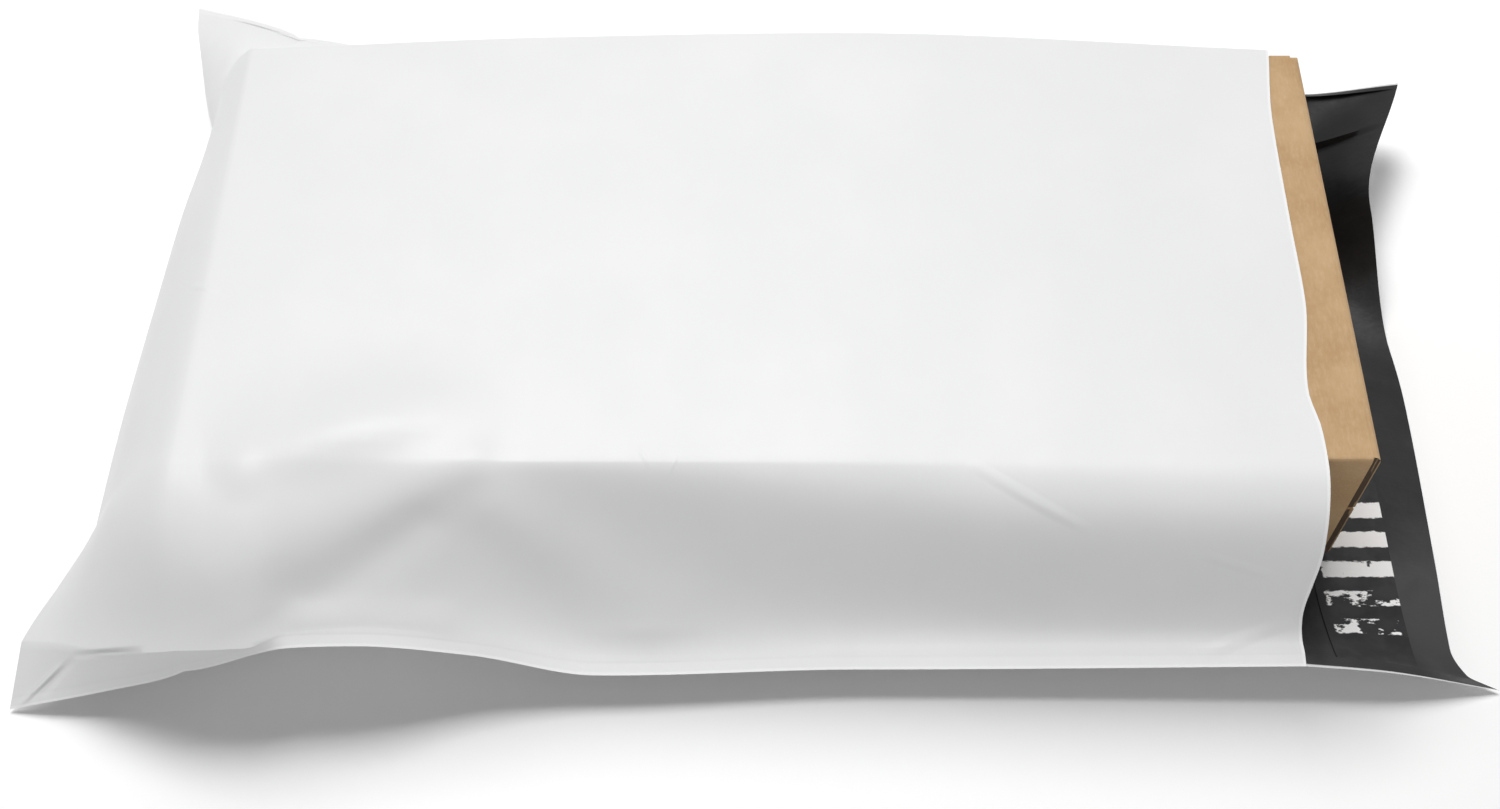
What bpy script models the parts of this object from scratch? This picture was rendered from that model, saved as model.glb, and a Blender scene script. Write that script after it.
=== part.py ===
"""A poly mailer bag lying on its back panel, with a shallow carton packed inside.

The film is a loft through five guide lines that run from the closed end to the mouth: the near
weld, the near crease, the ridge over the carton's near edge, the shoulder over its far edge, and
the far weld. Every guide is set off from the carton, so the film follows the carton's size.
Metres, +Z up, the mouth towards +X, the near side towards -Y.
"""

import bmesh
import bpy
import numpy as np

MM = 0.001

# Carton
CARTON_LENGTH = 303.2 * MM
CARTON_WIDTH = 136.0 * MM
CARTON_HEIGHT = 53.0 * MM
BOARD = 2.5 * MM
SIDE_FOLD_RADIUS = 1.6 * MM
FLAP_FOLD_RADIUS = 2.8 * MM
FLAP_INSET = 0.8 * MM
FLAP_SLIT = 1.2 * MM
LID_STEP = 1.2 * MM

# Film
FILM = 0.06 * MM
CLEARANCE = 0.3 * MM
WELD_WIDTH = 3.0 * MM
FOLD_BAND = 2.0 * MM
FOLD_FADE = 9.0 * MM
FLOOR_MARGIN = 8.0 * MM
POCKET_GAP = 0.5 * MM

# How far the film stands off the carton
NEAR_SKIRT = 36.5 * MM
FAR_SKIRT = 26.0 * MM
END_REACH = 30.0 * MM
NEAR_CORNER_REACH = 50.0 * MM
FAR_CORNER_REACH = 33.5 * MM
NEAR_CORNER_SKIRT = 44.5 * MM
FAR_CORNER_SKIRT = 57.0 * MM
SHOULDER_RISE = 3.6 * MM
SHOULDER_SKIRT = 4.0 * MM

# Slope of the near panel in degrees where it leaves the ridge and where it comes to the crease,
# and how stiffly it holds each, by station
LEAVE_SLOPES = [(-1, 6), (0.05, 12), (0.2, 14), (0.31, 16), (0.45, 20), (0.6, 18), (0.74, 9), (1, 3)]
LEAVE_HOLD = [(-1, 0.36), (0.05, 0.4), (0.2, 0.2), (0.31, 0.1), (0.45, 0.18), (0.6, 0.34), (0.74, 0.42),
              (1, 0.46)]
ARRIVE_SLOPES = [(-1, 20), (0.05, 38), (0.2, 36), (0.31, 26), (0.45, 24), (0.64, 12), (1, 8)]
ARRIVE_HOLD = [(-1, 0.3), (0.05, 0.36), (0.31, 0.3), (0.45, 0.3), (0.64, 0.28), (1, 0.2)]

# How far the closed end bulges past its straight line, by distance from the carton's middle in mm
END_BULGE = [(-85, -0.5), (-65, 1.2), (-23, 3), (19, 3.4), (45, 0.6), (58, 0), (85, 1.8), (112, 1.8),
             (125, 0.5)]

# Folds of the front panel in mm on the flat film, past the carton's closed face and above the ridge:
# start, end, width at the start, width at the end, height
FOLDS = [
    ((80, 7), (30, 19), 8, 10, 2.4),
    ((72, 0), (12, -28), 5, 15, 2.8),
    ((64, -16), (34, -36), 5, 7, -1.4),
    ((80, -12), (118, -44), 7, 14, 1.8),
    ((34, -44), (64, -46), 6, 6, 1.2),
    ((16, 5), (19, -11), 4, 5, 1.0),
]

# Mouth and lip
MOUTH_SETBACK = 12.8 * MM
LIP_REACH = 42.0 * MM
LIP_NEAR_POINT = 9.7 * MM
LIP_FAR_POINT = 12.8 * MM
LIP_NEAR_SPREAD = 2.8 * MM
LIP_FAR_NARROWING = 7.5 * MM
LIP_LIFT = 18.0 * MM

# Closing strips on the lip
STRIP_FROM_MOUTH = 8.0 * MM
LINER_MARGIN = 2.0 * MM
LINER_THICKNESS = 0.08 * MM
ADHESIVE_WIDTH = 18.0 * MM
ADHESIVE_THICKNESS = 0.05 * MM
STRIP_CLEARANCE = 0.2 * MM

# Lengthwise stations run from -1 at the closed end through 0 at the carton's closed face to 1 at the
# mouth, and their spacing grows towards the mouth
END_STEPS = 7
BODY_STEPS = 30
LIP_STEPS = 14
CREASE_ROWS = 1
NEAR_ROWS = 8
TOP_ROWS = 9
FAR_ROWS = 7
STRIP_STEPS = 8
STEP_GROWTH = 1.2
SHARP_ANGLE = 0.6

ADHESIVE_LEVEL = FILM + STRIP_CLEARANCE
LINER_LEVEL = ADHESIVE_LEVEL + ADHESIVE_THICKNESS + STRIP_CLEARANCE
CARTON_FLOOR = LINER_LEVEL + LINER_THICKNESS + CLEARANCE
CARTON_TOP = CARTON_FLOOR + CARTON_HEIGHT
FILM_TOP = CARTON_TOP + CLEARANCE + FILM
NEAR_FACE = -CARTON_WIDTH / 2
FAR_FACE = CARTON_WIDTH / 2
CLOSED_FACE = -CARTON_LENGTH / 2
OPEN_FACE = CARTON_LENGTH / 2


def smooth(points, at):
    """A monotone curve through a few (place, value) points."""
    x, y = (np.array(column, float) for column in zip(*points))
    step = np.diff(x)
    slope = np.diff(y) / step
    tangent = np.zeros_like(y)
    tangent[0], tangent[-1] = slope[0], slope[-1]
    for i in range(1, len(x) - 1):
        if slope[i - 1] * slope[i] > 0:
            tangent[i] = 2 * slope[i - 1] * slope[i] / (slope[i - 1] + slope[i])
    at = np.clip(np.asarray(at, float), x[0], x[-1])
    i = np.clip(np.searchsorted(x, at, side="right") - 1, 0, len(step) - 1)
    t = (at - x[i]) / step[i]
    rise = y[i + 1] - y[i]
    start, end = tangent[i] * step[i], tangent[i + 1] * step[i]
    return y[i] + t * (start + t * (3 * rise - 2 * start - end + t * (start + end - 2 * rise)))


def guide(reach, setback, skirt, height):
    """One lengthwise guide line: its reach past the closed face, its setback at the mouth,
    and tables of (station, distance outside the side face) and (station, height)."""

    def place(station, side_face, outward):
        mouth = OPEN_FACE - setback
        body = CLOSED_FACE + np.clip(station, 0, 1) * (mouth - CLOSED_FACE)
        x = np.where(station < 0, CLOSED_FACE + station * reach, body)
        return np.stack([x, side_face + outward * smooth(skirt, station), smooth(height, station)], -1)

    return place


def guide_lines(station):
    """The five guides as points, nearest first, for an array of stations."""
    corner, skirt = NEAR_CORNER_SKIRT, NEAR_SKIRT
    near_weld = guide(
        NEAR_CORNER_REACH,
        MOUTH_SETBACK + 1.2 * MM,
        [(-1, corner), (-0.5, skirt + 6.2 * MM), (0, skirt + 4.4 * MM), (0.1, skirt + 2 * MM),
         (0.25, skirt), (0.36, skirt + 2.1 * MM), (0.6, skirt), (1, skirt)],
        [(-1, 0.5 * MM), (-0.45, 8 * MM), (0, 17 * MM), (0.1, 26 * MM), (0.15, 25 * MM),
         (0.25, 17 * MM), (0.36, 9 * MM), (0.6, 8 * MM), (1, 10 * MM)],
    )
    near_crease = guide(
        NEAR_CORNER_REACH - 4 * MM,
        MOUTH_SETBACK + 1.5 * MM,
        [(-1, corner - 14 * MM), (-0.75, skirt - 3.3 * MM), (-0.5, skirt + 0.3 * MM),
         (0, skirt + 3.2 * MM), (0.06, skirt + 3 * MM), (0.1, skirt - 1.5 * MM), (0.2, skirt - 4 * MM),
         (0.36, skirt - 3 * MM), (0.7, skirt - 5 * MM), (1, skirt - 5 * MM)],
        [(-1, 12 * MM), (-0.75, 16 * MM), (-0.5, 20 * MM), (0, 27 * MM), (0.1, 28 * MM),
         (0.15, 27 * MM), (0.25, 19.5 * MM), (0.36, 11 * MM), (0.6, 9.8 * MM), (1, 11.8 * MM)],
    )
    ridge = guide(
        END_REACH,
        MOUTH_SETBACK + 1.3 * MM,
        [(-1, 0), (-0.5, 1 * MM), (0, CLEARANCE + FILM), (1, CLEARANCE + FILM)],
        [(-1, 15.5 * MM), (-0.85, 0.46 * FILM_TOP), (-0.6, 0.72 * FILM_TOP), (-0.3, 0.91 * FILM_TOP),
         (0, FILM_TOP), (1, FILM_TOP)],
    )
    shoulder = guide(
        END_REACH - 11 * MM,
        MOUTH_SETBACK - 3.7 * MM,
        [(-1, 0), (0, 1 * MM), (0.3, SHOULDER_SKIRT - 1 * MM), (0.6, SHOULDER_SKIRT),
         (1, CLEARANCE + FILM)],
        [(-1, 15 * MM), (-0.8, 0.5 * FILM_TOP), (-0.5, 0.79 * FILM_TOP), (0, FILM_TOP),
         (0.3, FILM_TOP + 0.8 * SHOULDER_RISE), (0.55, FILM_TOP + SHOULDER_RISE),
         (1, FILM_TOP + 0.1 * SHOULDER_RISE)],
    )
    far_weld = guide(
        FAR_CORNER_REACH,
        MOUTH_SETBACK - 10.1 * MM,
        [(-1, FAR_CORNER_SKIRT), (-0.3, FAR_CORNER_SKIRT - 7 * MM), (0, FAR_CORNER_SKIRT - 12 * MM),
         (0.12, FAR_SKIRT + 12 * MM), (0.3, FAR_SKIRT + 2 * MM), (1, FAR_SKIRT)],
        [(-1, 13 * MM), (0, 12 * MM), (0.3, 8 * MM), (0.55, 6 * MM), (1, 8 * MM)],
    )
    sides = [(near_weld, NEAR_FACE, -1), (near_crease, NEAR_FACE, -1), (ridge, NEAR_FACE, -1),
             (shoulder, FAR_FACE, 1), (far_weld, FAR_FACE, 1)]
    return [line(station, face, outward) for line, face, outward in sides]


def span(first, last, fraction, power):
    """A row of points between two guides; a power above 1 drops steeply just below the first."""
    row = first + (last - first) * fraction
    drop = (1 - fraction) ** power
    row[..., 2] = last[..., 2] + (first[..., 2] - last[..., 2]) * drop
    return row


def near_row(ridge, crease, fraction, station):
    """A row of the near panel: it leaves the ridge at one slope and comes to the crease at another."""
    across = (crease - ridge) * [1, 1, 0]
    across /= np.linalg.norm(across, axis=1, keepdims=True)
    reach = np.linalg.norm(crease - ridge, axis=1)

    def handle(slopes, hold):
        slope = np.radians(smooth(slopes, station))[:, None]
        length = (reach * smooth(hold, station))[:, None]
        return length * (across * np.cos(slope) + np.array([0, 0, -1]) * np.sin(slope))

    above = ridge + handle(LEAVE_SLOPES, LEAVE_HOLD)
    below = crease - handle(ARRIVE_SLOPES, ARRIVE_HOLD)
    back = 1 - fraction
    return (ridge * back ** 3 + above * 3 * back ** 2 * fraction
            + below * 3 * back * fraction ** 2 + crease * fraction ** 3)


def front_panel():
    """Outer face of the front panel: an array of points, closed end to mouth by near to far."""
    ends = np.linspace(FOLD_BAND / END_REACH - 1, 0, END_STEPS)
    body = np.linspace(0, 1, BODY_STEPS + 1)[1:] ** STEP_GROWTH
    stations = np.concatenate([[-1], ends, body])
    near_weld, near_crease, ridge, shoulder, far_weld = guide_lines(stations)
    weld_share = WELD_WIDTH / np.linalg.norm(near_crease - near_weld, axis=1)[:, None]
    inner = near_weld + (near_crease - near_weld) * weld_share
    rows = [near_weld] + [span(inner, near_crease, fraction, 1)
                          for fraction in np.linspace(0, 1, CREASE_ROWS + 1)[:-1]]
    rows += [near_row(ridge, near_crease, fraction, stations)
             for fraction in np.linspace(1, 0, NEAR_ROWS + 1)[:-1]]
    rows += [span(ridge, shoulder, fraction, 1) for fraction in np.linspace(0, 1, TOP_ROWS + 1)[:-1]]
    rows += [span(shoulder, far_weld, fraction, 1.25) for fraction in np.linspace(0, 1, FAR_ROWS + 1)[:-1]]
    inner = rows[-1]
    weld_share = WELD_WIDTH / np.linalg.norm(inner - far_weld, axis=1)[:, None]
    rows += [far_weld + (inner - far_weld) * weld_share, far_weld]
    panel = np.stack(rows, axis=1)
    panel[..., 0] += np.minimum(stations, 0)[:, None] * smooth(END_BULGE, panel[:1, :, 1] / MM) * MM
    return folded(panel)


def climb(panel):
    """Distance of each point above the ridge, along its row of the film."""
    steps = np.linalg.norm(np.diff(panel, axis=1), axis=2)
    walked = np.concatenate([np.zeros((len(panel), 1)), np.cumsum(steps, axis=1)], axis=1)
    ridge = 1 + CREASE_ROWS + NEAR_ROWS
    return walked - walked[:, ridge:ridge + 1]


def folded(panel):
    """The panel with its folds raised along its normals, clear of the carton and flat at the welds."""
    above = climb(panel)
    flat = np.stack([panel[..., 0] - CLOSED_FACE, above], -1) / MM
    from_edge = np.minimum(above - above[:, :1], above[:, -1:] - above)
    lift = sum(fold(flat, *shape) for shape in FOLDS) * MM * np.clip((from_edge - WELD_WIDTH) / FOLD_FADE, 0, 1)
    lift[:2] = 0
    raised = panel + normals(panel) * lift[..., None]
    over = (abs(raised[..., 1]) < FAR_FACE + CLEARANCE) & (raised[..., 0] > CLOSED_FACE - CLEARANCE)
    raised[..., 2] = np.where(over, np.maximum(raised[..., 2], FILM_TOP), raised[..., 2])
    return raised


def fold(flat, start, end, start_width, end_width, height):
    """Height of a soft fold along a straight line on the flat film."""
    start, end = np.array(start, float), np.array(end, float)
    line = end - start
    along = np.clip((flat - start) @ line / (line @ line), 0, 1)
    away = np.linalg.norm(flat - start - along[..., None] * line, axis=-1)
    width = start_width + (end_width - start_width) * along
    return height * np.exp(-(away / width) ** 2)


def normals(panel):
    """Unit normals of a grid of points, upward."""
    normal = np.cross(np.gradient(panel, axis=0), np.gradient(panel, axis=1))
    normal /= np.linalg.norm(normal, axis=-1, keepdims=True)
    return normal * np.sign(normal[..., 2:3])


def back_panel(front):
    """Outer face of the back panel under the front one: flat under the carton, rising to the welds."""
    back = front.copy()
    up = normals(front)
    x, y = front[..., 0], front[..., 1]
    rim_near, rim_far, rim_end = front[:, :1, :], front[:, -1:, :], front[:1, :, :]
    foot_near, foot_far, foot_end = NEAR_FACE - FLOOR_MARGIN, FAR_FACE + FLOOR_MARGIN, CLOSED_FACE - FLOOR_MARGIN
    rises = [
        rim_near[..., 2] * rise((y - foot_near) / (rim_near[..., 1] - foot_near)),
        rim_far[..., 2] * rise((y - foot_far) / (rim_far[..., 1] - foot_far)),
        rim_end[..., 2] * rise((x - foot_end) / (rim_end[..., 0] - foot_end)),
    ]
    back[..., 2] = np.minimum(np.maximum.reduce(rises), front[..., 2] - POCKET_GAP)
    for edge in (np.s_[:, 0], np.s_[:, 1], np.s_[:, -1], np.s_[:, -2], np.s_[0, :], np.s_[1, :]):
        back[edge] = front[edge] - 2 * FILM * up[edge]
    return np.maximum(back, [-np.inf, -np.inf, 0])


def rise(share):
    """Share of a rim's height at a share of the way out to it."""
    return np.clip(share, 0, 1) ** 1.6


def lip_panel(back):
    """The back panel past the mouth: outer face, one column per step from the mouth to the end."""
    mouth = back[-1]
    y = mouth[:, 1]
    near, far = NEAR_FACE - NEAR_SKIRT, FAR_FACE + FAR_SKIRT
    reach = [(near, LIP_REACH + LIP_NEAR_POINT), (NEAR_FACE - 0.68 * NEAR_SKIRT, LIP_REACH - 1 * MM),
             (NEAR_FACE, LIP_REACH), (0, LIP_REACH), (0.62 * FAR_FACE, LIP_REACH - 3.4 * MM),
             (far, LIP_REACH + LIP_FAR_POINT)]
    level = [(near, 0.5 * MM), (NEAR_FACE - 0.68 * NEAR_SKIRT, 0.3 * MM), (0, 0.5 * MM),
             (0.62 * FAR_FACE, LIP_LIFT), (far, LIP_LIFT + 2 * MM)]
    spread = [(near, -LIP_NEAR_SPREAD), (0, 0), (far, -LIP_FAR_NARROWING)]
    end = np.stack([OPEN_FACE - MOUTH_SETBACK + smooth(reach, y), y + smooth(spread, y),
                    smooth(level, y)], -1)
    clear = OPEN_FACE + 1 * MM
    columns = []
    for fraction in np.linspace(0, 1, LIP_STEPS + 1)[1:]:
        column = mouth + (end - mouth) * fraction
        past = np.clip((column[:, 0] - clear) / (end[:, 0] - clear), 0, 1)
        settle = smooth([(0, 0), (0.35, 0.12), (1, 1)], np.where(abs(y) < FAR_FACE + FLOOR_MARGIN, past, fraction))
        column[:, 2] = mouth[:, 2] + (end[:, 2] - mouth[:, 2]) * settle
        columns.append(column)
    return np.stack(columns)


def inside(outer, upward):
    """The face one film thickness in from an outer face."""
    return outer + normals(outer) * (FILM if upward else -FILM)


def vertices(mesh, points):
    """New vertices for an array of points, as rows of vertices."""
    return [[mesh.verts.new(point) for point in row] for row in points]


def skin(mesh, rows, flip=False, fused=()):
    """Triangles over a grid of vertices, every quad cut along the same diagonal."""
    for lower, upper in zip(rows, rows[1:]):
        for i in range(len(lower) - 1):
            corners = (lower[i], upper[i], upper[i + 1], lower[i + 1])
            for face in ((0, 1, 2), (0, 2, 3)):
                loop = [corners[k] for k in (reversed(face) if flip else face)]
                if not all(vertex in fused for vertex in loop):
                    mesh.faces.new(loop)


def film_mesh():
    """The folded, welded film as one closed body: outer faces, pocket faces and cut edges."""
    front = front_panel()
    back = back_panel(front)
    whole_back = np.concatenate([back, lip_panel(back)])
    front_in, back_in = inside(front, False), inside(whole_back, True)
    columns, rows = front.shape[:2]
    mouth, last = columns - 1, rows - 1

    mesh = bmesh.new()
    f_out = vertices(mesh, front)
    b_out = vertices(mesh, whole_back)
    f_in = vertices(mesh, front_in)
    b_in = vertices(mesh, back_in)
    fused = set()
    for i in range(columns):
        for j in range(rows):
            if i < 2 or j in (0, 1, last - 1, last):
                f_in[i][j].co = (f_out[i][j].co + b_out[i][j].co) / 2
                b_in[i][j] = f_in[i][j]
                fused.add(f_in[i][j])

    skin(mesh, f_out)
    skin(mesh, b_out, flip=True)
    pocket = slice(1, last)
    skin(mesh, [row[pocket] for row in f_in[1:]], flip=True, fused=fused)
    skin(mesh, [row[pocket] for row in b_in[1:columns]], fused=fused)
    skin(mesh, b_in[mouth:])
    for side, flip in ((0, False), (last, True)):
        welded = range(columns)
        skin(mesh, [[f_out[i][side] for i in welded], [f_in[i][side] for i in welded]], flip)
        skin(mesh, [[f_in[i][side] for i in welded], [b_out[i][side] for i in welded]], flip)
        lip = range(mouth, len(b_out))
        skin(mesh, [[b_in[i][side] for i in lip], [b_out[i][side] for i in lip]], flip)
    skin(mesh, [f_out[0], f_in[0]], flip=True)
    skin(mesh, [f_in[0], b_out[0]], flip=True)
    skin(mesh, [f_out[mouth], f_in[mouth]])
    skin(mesh, [b_in[-1], b_out[-1]])
    bmesh.ops.delete(mesh, geom=[v for v in mesh.verts if not v.link_faces], context="VERTS")
    return mesh


def strip_mesh(margin, level, thickness):
    """A strip across the lip, parallel to the film. With a margin it ends that far inside the liner."""
    front = front_panel()
    lip = np.concatenate([back_panel(front)[-1:], lip_panel(back_panel(front))])[:, 2:-2]
    start = OPEN_FACE - MOUTH_SETBACK + STRIP_FROM_MOUTH
    lines = start + LINER_MARGIN + np.linspace(0, ADHESIVE_WIDTH, STRIP_STEPS + 1)
    if not margin:
        lines = [start, *lines, start + ADHESIVE_WIDTH + 2 * LINER_MARGIN]
    top = []
    for x in lines:
        column = []
        for j in range(lip.shape[1]):
            y, z = (np.interp(x, lip[:, j, 0], lip[:, j, axis]) for axis in (1, 2))
            column.append((x, y, z + level + thickness))
        top.append(column)
    mesh = bmesh.new()
    upper = vertices(mesh, top)
    lower = vertices(mesh, np.array(top) - [0, 0, thickness])
    skin(mesh, upper)
    skin(mesh, lower, flip=True)
    skin(mesh, [[row[0] for row in rows] for rows in (upper, lower)])
    skin(mesh, [[row[-1] for row in rows] for rows in (upper, lower)], flip=True)
    skin(mesh, [upper[0], lower[0]], flip=True)
    skin(mesh, [upper[-1], lower[-1]])
    return mesh


def carton_mesh():
    """The closed carton: side walls between end flaps, whose cut edges show beside the side walls."""
    wall, flap = CARTON_WIDTH / 2, CARTON_WIDTH / 2 - FLAP_INSET
    shoulder, end = CARTON_LENGTH / 2 - BOARD, CARTON_LENGTH / 2
    quarter = [(shoulder, wall), (shoulder, flap), (end, flap)]
    outline = quarter + [(x, -y) for x, y in reversed(quarter)]
    outline += [(-x, -y) for x, y in quarter] + [(-x, y) for x, y in reversed(quarter)]
    mesh = bmesh.new()
    base = mesh.faces.new([mesh.verts.new((x, y, CARTON_FLOOR)) for x, y in reversed(outline)])
    lid = bmesh.ops.extrude_face_region(mesh, geom=[base])["geom"]
    raised = [v for v in lid if isinstance(v, bmesh.types.BMVert)]
    bmesh.ops.translate(mesh, vec=(0, 0, CARTON_HEIGHT), verts=raised)
    bmesh.ops.recalc_face_normals(mesh, faces=mesh.faces)
    level = [e for e in mesh.edges if e.verts[0].co.z == e.verts[1].co.z]
    sides = [e for e in level if all(abs(abs(v.co.y) - wall) < CLEARANCE for v in e.verts)]
    round_off(mesh, sides, SIDE_FOLD_RADIUS)
    level = [e for e in mesh.edges if abs(e.verts[0].co.z - e.verts[1].co.z) < CLEARANCE]
    ends = [e for e in level if all(abs(abs(v.co.x) - end) < CLEARANCE for v in e.verts)]
    round_off(mesh, ends, FLAP_FOLD_RADIUS)
    return mesh


def round_off(mesh, edges, radius):
    bmesh.ops.bevel(mesh, geom=edges, offset=radius, segments=3, profile=0.5, affect="EDGES")


def add(name, mesh, *materials):
    """A new object from a mesh, with its materials."""
    data = bpy.data.meshes.new(name)
    mesh.to_mesh(data)
    mesh.free()
    for material in materials:
        data.materials.append(material)
    piece = bpy.data.objects.new(name, data)
    bpy.context.scene.collection.objects.link(piece)
    return piece


def finish(name, colour, roughness):
    """A material with a Principled shader."""
    material = bpy.data.materials.new(name)
    material.use_nodes = True
    shader = material.node_tree.nodes["Principled BSDF"]
    shader.inputs["Base Color"].default_value = (*colour, 1)
    shader.inputs["Roughness"].default_value = roughness
    shader.inputs["Metallic"].default_value = 0
    return material


def cut(piece, name, low, high):
    """Cut a box out of a piece."""
    mesh = bmesh.new()
    bmesh.ops.create_cube(mesh, size=1)
    low, high = np.array(low), np.array(high)
    for vertex in mesh.verts:
        vertex.co = (low + high) / 2 + np.array(vertex.co) * (high - low)
    cutter = add(name, mesh)
    cutter.hide_render = True
    cutter.display_type = "WIRE"
    boolean = piece.modifiers.new(name, "BOOLEAN")
    boolean.operation = "DIFFERENCE"
    boolean.solver = "EXACT"
    boolean.object = cutter


def build_carton():
    """The carton, with the slit between its end flaps and the step beside its lid's far edge."""
    carton = add("carton", carton_mesh(), finish("kraft board", (0.60, 0.40, 0.22), 0.85))
    half, wall, spare = CARTON_LENGTH / 2, CARTON_WIDTH / 2, BOARD
    middle = CARTON_FLOOR + CARTON_HEIGHT / 2
    low_z, high_z = middle - FLAP_SLIT / 2, middle + FLAP_SLIT / 2
    for side, name in ((1, "open_end_slit"), (-1, "closed_end_slit")):
        x = sorted([side * (half - BOARD), side * (half + spare)])
        cut(carton, name, (x[0], -wall - spare, low_z), (x[1], wall + spare, high_z))
    cut(carton, "lid_step", (-half - spare, wall - BOARD, CARTON_TOP - LID_STEP),
        (half + spare, wall + spare, CARTON_TOP + spare))
    return carton


def build_mailer_bag():
    """The bag's film, white outside and black on the lip and inside."""
    white = finish("white film", (0.90, 0.90, 0.91), 0.35)
    black = finish("black film", (0.03, 0.03, 0.032), 0.4)
    bag = add("mailer_bag", film_mesh(), white, black)
    for face in bag.data.polygons:
        if face.normal.z > 0 and face.center.x > OPEN_FACE - MOUTH_SETBACK + STRIP_CLEARANCE:
            face.material_index = 1
    bag.data.shade_smooth()
    bag.data.set_sharp_from_angle(angle=SHARP_ANGLE)
    return bag


def centre_on_base(pieces):
    """Put the origin under the middle of the bag's outline, on the surface it lies on."""
    corners = np.array([v.co for piece in pieces for v in piece.data.vertices])
    low, high = corners.min(axis=0), corners.max(axis=0)
    middle = [(low[0] + high[0]) / 2, (low[1] + high[1]) / 2, low[2]]
    for piece in bpy.context.scene.objects:
        for vertex in piece.data.vertices:
            vertex.co = np.array(vertex.co) - middle


def main():
    for old in list(bpy.data.objects):
        bpy.data.objects.remove(old)
    bag = build_mailer_bag()
    build_carton()
    glue = finish("hot melt adhesive", (0.75, 0.70, 0.55), 0.3)
    add("adhesive_strip", strip_mesh(LINER_MARGIN, ADHESIVE_LEVEL, ADHESIVE_THICKNESS), glue)
    tape = finish("release liner", (0.06, 0.06, 0.065), 0.35)
    add("release_liner", strip_mesh(0, LINER_LEVEL, LINER_THICKNESS), tape)
    centre_on_base([bag])


main()
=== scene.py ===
import math

import bpy
import numpy as np
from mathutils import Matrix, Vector


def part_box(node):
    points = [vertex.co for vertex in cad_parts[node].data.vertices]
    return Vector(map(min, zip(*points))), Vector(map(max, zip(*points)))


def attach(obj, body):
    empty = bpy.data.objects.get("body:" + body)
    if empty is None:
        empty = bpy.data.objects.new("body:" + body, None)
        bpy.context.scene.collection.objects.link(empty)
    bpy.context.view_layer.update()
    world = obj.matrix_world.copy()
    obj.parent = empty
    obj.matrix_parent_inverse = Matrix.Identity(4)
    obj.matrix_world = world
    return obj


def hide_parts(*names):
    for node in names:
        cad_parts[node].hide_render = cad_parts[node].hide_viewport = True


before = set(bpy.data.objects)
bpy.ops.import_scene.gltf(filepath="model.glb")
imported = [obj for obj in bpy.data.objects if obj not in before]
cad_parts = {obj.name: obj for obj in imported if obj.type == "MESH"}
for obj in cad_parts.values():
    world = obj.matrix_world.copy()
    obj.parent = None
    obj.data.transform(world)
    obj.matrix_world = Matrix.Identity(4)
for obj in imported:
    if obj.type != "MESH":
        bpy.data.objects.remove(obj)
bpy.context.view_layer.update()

MM = 0.001

# Camera: where it aims from the carton's centre, and how it stands
AIM_FROM_CARTON = Vector((-7.1, -18.2, 0)) * MM
CAMERA_DISTANCE = 536 * MM
CAMERA_ELEVATION = math.radians(58.2)
PHOTO_WIDTH = 1500
FOCAL_PIXELS = 1854
SENSOR_WIDTH = 36.0

# The carton as packed: its centre is the home of every piece below
CARTON_LOW, CARTON_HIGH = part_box("carton")
HOME = Vector(((CARTON_LOW.x + CARTON_HIGH.x) / 2, (CARTON_LOW.y + CARTON_HIGH.y) / 2, 0))
NEAR_FACE = CARTON_LOW.y - HOME.y
FAR_FACE = CARTON_HIGH.y - HOME.y
CLOSED_FACE = CARTON_LOW.x - HOME.x
OPEN_FACE = CARTON_HIGH.x - HOME.x
BOARD = 2.5 * MM

# Film: its thickness, its gap to the carton, its welds and the fold at the closed end, how folds fade
# towards a weld, how far past the carton the back panel stays flat, and its gap to the front panel
FILM = 0.06 * MM
CLEARANCE = 0.3 * MM
FILM_TOP = CARTON_HIGH.z + CLEARANCE + FILM
WELD_WIDTH = 3 * MM
FOLD_BAND = 2 * MM
FOLD_FADE = 9 * MM
WELD_SLACK = 0.5 * MM
FLOOR_MARGIN = 8 * MM
POCKET_GAP = 0.5 * MM

# The flat sheet, and the length that its map gives the pocket as it lies
FLAT_WIDTH = 250 * MM
POCKET_LENGTH = 320 * MM

# How steeply the back panel rises to its rims, and the front one drops from the far shoulder
RIM_RISE_POWER = 1.6
FAR_DROP_POWER = 1.25

# How far the film stands off the carton
NEAR_SKIRT = 36.5 * MM
FAR_SKIRT = 26 * MM
END_REACH = 30 * MM
NEAR_CORNER_REACH = 50 * MM
FAR_CORNER_REACH = 33.5 * MM
NEAR_CORNER_SKIRT = 44.5 * MM
FAR_CORNER_SKIRT = 57 * MM
SHOULDER_RISE = 3.6 * MM
SHOULDER_SKIRT = 4 * MM

# A station is -1 at the fold of the closed end, 0 at the carton's closed face and 1 at the mouth.
# Slope of the near panel in degrees where it leaves the ridge and where it comes to the crease,
# and how stiffly it holds each, by station
LEAVE_SLOPES = [(-1, 4), (0.05, 6), (0.2, 8), (0.31, 16), (0.45, 20), (0.6, 18), (0.74, 9), (1, 3)]
LEAVE_HOLD = [(-1, 0.36), (0.05, 0.4), (0.2, 0.2), (0.31, 0.1), (0.45, 0.18), (0.6, 0.34), (0.74, 0.42),
              (1, 0.46)]
ARRIVE_SLOPES = [(-1, 20), (0.05, 38), (0.2, 36), (0.31, 26), (0.45, 24), (0.64, 12), (1, 8)]
ARRIVE_HOLD = [(-1, 0.3), (0.05, 0.36), (0.31, 0.3), (0.45, 0.3), (0.64, 0.28), (1, 0.2)]

# How far the closed end bulges past its straight line, by distance from the carton's middle in mm
END_BULGE = [(-85, -0.5), (-65, 1.2), (-23, 3), (19, 3.4), (45, 0.6), (58, 0), (85, 1.8), (112, 1.8),
             (125, 0.5)]

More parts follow.
